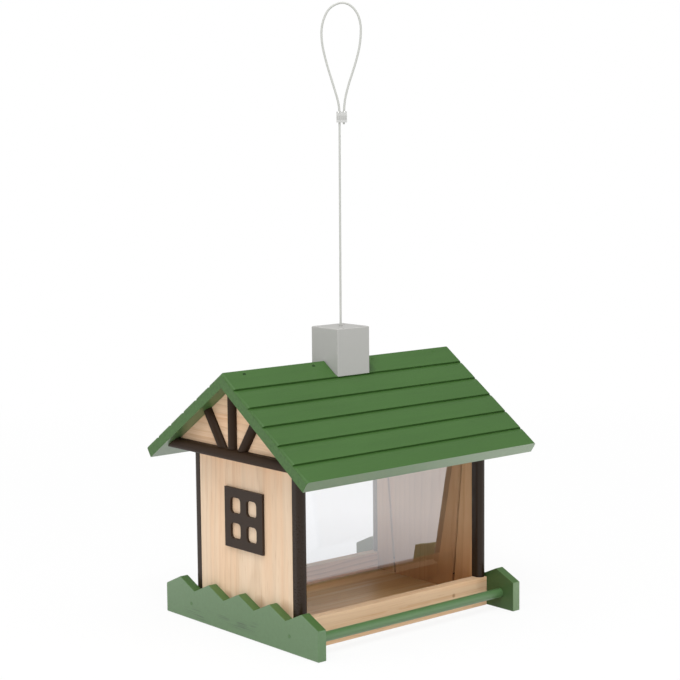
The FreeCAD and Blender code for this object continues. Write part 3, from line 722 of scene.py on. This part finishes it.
def make_sleeve():
    """Double sleeve round both wires, drawn in between them and pressed in a broad band."""
    bm = bmesh.new()
    mark = bm.faces.layers.float.new("pressed")
    half_edge = Matrix.Rotation(math.pi / SLEEVE_EDGES, 4, "Z")
    bmesh.ops.create_circle(bm, cap_ends=True, segments=SLEEVE_EDGES, radius=SLEEVE_RADIUS, matrix=half_edge)
    for way in (-1, 1):
        side = [vert for vert in bm.verts if vert.co.x * way > 0]
        bmesh.ops.translate(bm, verts=side, vec=(SLEEVE_SPREAD * way, 0, 0))
    long_edges = [edge for edge in bm.edges if edge.calc_length() > SLEEVE_RADIUS]
    cut = bmesh.ops.subdivide_edges(bm, edges=long_edges, cuts=SLEEVE_CUTS)
    for vert in cut["geom_inner"]:
        if isinstance(vert, bmesh.types.BMVert):
            vert.co.y *= 1 - SLEEVE_WAIST * math.cos(vert.co.x / SLEEVE_SPREAD * math.pi / 2)
    bmesh.ops.recalc_face_normals(bm, faces=bm.faces[:])
    top = bm.faces[:]
    height = 0.0
    depth = SLEEVE_RIM
    for level, share in SLEEVE_PRESS:
        grown = bmesh.ops.extrude_face_region(bm, geom=top)["geom"]
        rim = [item for item in grown if isinstance(item, bmesh.types.BMVert)]
        top = [item for item in grown if isinstance(item, bmesh.types.BMFace)]
        bmesh.ops.translate(bm, verts=rim, vec=(0, 0, level - height))
        narrower = 1 + (share / depth - 1) * PRESS_NARROWS
        bmesh.ops.scale(bm, verts=rim, vec=(narrower, share / depth, 1))
        for face in {face for vert in rim for face in vert.link_faces} - set(top):
            if share < PRESSED_BELOW and face.calc_center_median().z > height:
                face[mark] = 1.0
        height = level
        depth = share
    bmesh.ops.recalc_face_normals(bm, faces=bm.faces[:])
    turn = Matrix.Rotation(-LOOP_TURN, 4, "Z") @ Matrix.Translation(SLEEVE_PLACE)
    bmesh.ops.transform(bm, matrix=Matrix.Scale(MM, 4) @ turn, verts=bm.verts[:])
    metal = plain_metal("sleeve_metal", SLEEVE_METAL, 0.34, SLEEVE_PRESS_SHADE)
    sleeve = new_piece("pressed_sleeve", finish_mesh(bm, "pressed_sleeve", SLEEVE_SMOOTH_BELOW), [metal])
    show(sleeve, "house")
    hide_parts("loop_ferrule")
    return sleeve


def make_metal():
    """Looks of the pieces that stay as they are; paint covers the ridge nails of the right half."""
    stop = plain_metal("stop_metal", STOP_METAL, 0.3)
    steel = plain_metal("plain_steel", STEEL, 0.42)
    browned = plain_metal("browned_steel", BROWNED_STEEL, 0.6)
    board_head = painted("green_board_nail", "Z", (0, 0, 0), BOARD_NAIL_GREEN, WORN_AND_SHEEN_GREEN)
    ridge_head = painted("green_ridge_nail", "Z", (9, 4, 0), RIDGE_NAIL_GREEN, WORN_AND_SHEEN_GREEN, shine=0.3)
    covered_head = painted("green_over_nail", "X", (5, 8, 0), ROOF_GREEN, WORN_AND_SHEEN_GREEN)
    looks = {
        "cord_stop": [stop],
        "stop_washer": [steel],
        "pane_pins": [browned],
        "rail_nails": [browned],
        "floor_nails": [steel],
        "end_board_nails": [board_head],
        "ridge_nails": [ridge_head, covered_head],
    }
    for node, materials in looks.items():
        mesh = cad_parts[node].data
        mesh.materials.clear()
        for material in materials:
            mesh.materials.append(material)
    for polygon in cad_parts["ridge_nails"].data.polygons:
        polygon.material_index = 1 if polygon.center.x > 0 else 0


FLOOR_RADIUS = 3.0
FLOOR_DROP = 0.4 * MM

# Distances over which the floor's shade gives way to plain white, seen directly and in a mirror.
SHADE_REACH = (0.3, 1.26)
MIRRORED_REACH = (0.105, 0.285)


def make_floor():
    """White floor with a faint shade under the house."""
    white = Finish("white_floor")
    reach = white.length(white.place())
    plain = white.rise(reach, *SHADE_REACH, 0.88, 1.0) * white.seen_by("Camera", "Transmission")
    gloss = white.seen_by("Glossy")
    mirrored = white.rise(reach, *MIRRORED_REACH, 0.62, 0.98)
    matt = white.node("ShaderNodeBsdfDiffuse", None, {"Color": FLOOR_MATT})
    glow = white.node("ShaderNodeEmission", None, {"Color": white.mix(gloss, WHITE, mirrored)})
    white.surface(white.node("ShaderNodeMixShader", None, {0: plain.larger(gloss), 1: matt, 2: glow}))
    bm = bmesh.new()
    lowered = Matrix.Translation((0, 0, -FLOOR_DROP))
    bmesh.ops.create_circle(bm, cap_ends=True, segments=96, radius=FLOOR_RADIUS, matrix=lowered)
    new_piece("floor", finish_mesh(bm, "floor"), [white.material])


ROOM_LIGHT = 0.86

# The way along which the room grows dimmer, from the front left to the back right.
DIM_EAST = 0.65
DIM_NORTH = 0.76


def make_surroundings():
    """Surroundings that look white, dimmer overhead in a mirror, and give soft light from the front left."""
    world = bpy.data.worlds.new("surroundings")
    bpy.context.scene.world = world
    room = Finish("surroundings", world)
    east, north, height = room.apart(room.node("ShaderNodeTexCoord", out="Generated"))
    mirrored = room.rise(height, 0.12, 0.6, 1.0, 0.35)
    dimmed = room.rise(east * DIM_EAST + north * DIM_NORTH, 0.0, 0.6, 1.0, 0.35)
    shaded = dimmed * room.rise(height, 0.0, 0.45, 0.85, 1.05) * ROOM_LIGHT
    direct = room.seen_by("Camera", "Transmission")
    gloss = room.seen_by("Glossy")
    strength = direct + (1 - direct) * (gloss * mirrored + (1 - gloss) * shaded)
    light = room.node("ShaderNodeBackground", None, {"Color": WHITE, "Strength": strength})
    room.surface(light, "ShaderNodeOutputWorld")


# Soft lamps: name, place, diameter and power in watts. They aim at the middle of the house.
LAMPS = [("soft_front", (-0.8, -0.85, 1.95), 1.0, 22), ("overhead", (0.1, 0.1, 1.95), 1.5, 4)]
LAMP_AIM = (0, 0, 0.14)


def make_lamps():
    for name, place, size, power in LAMPS:
        data = bpy.data.lights.new(name, "AREA")
        data.shape = "DISK"
        data.size = size
        data.energy = power
        lamp = bpy.data.objects.new(name, data)
        link(lamp)
        lamp.location = place
        lamp.rotation_euler = (Vector(LAMP_AIM) - Vector(place)).to_track_quat("-Z", "Y").to_euler()


CAMERA_PLACE = (-0.947625, -1.106264, 0.405036)
CAMERA_YAW = 0.708053
CAMERA_PITCH = -0.116819
CAMERA_ROLL = -0.009365
FOCAL_PIXELS = 1736.9265
IMAGE_SIDE = 680

# Width of the camera's sensor, in millimetres.
SENSOR_WIDTH = 36


def make_camera():
    data = bpy.data.cameras.new("camera")
    data.sensor_width = SENSOR_WIDTH
    data.lens = SENSOR_WIDTH * FOCAL_PIXELS / IMAGE_SIDE
    data.clip_start = 0.05
    camera = bpy.data.objects.new("camera", data)
    link(camera)
    turn = (Matrix.Rotation(-CAMERA_YAW, 4, "Z") @ Matrix.Rotation(math.pi / 2 + CAMERA_PITCH, 4, "X")
            @ Matrix.Rotation(CAMERA_ROLL, 4, "Z"))
    camera.matrix_world = Matrix.Translation(CAMERA_PLACE) @ turn
    bpy.context.scene.camera = camera


make_camera()
make_wire()
make_tray()
make_walls()
make_panes()
make_roof()
make_metal()
make_floor()
make_surroundings()
make_lamps()
bpy.context.scene.view_settings.view_transform = "Standard"
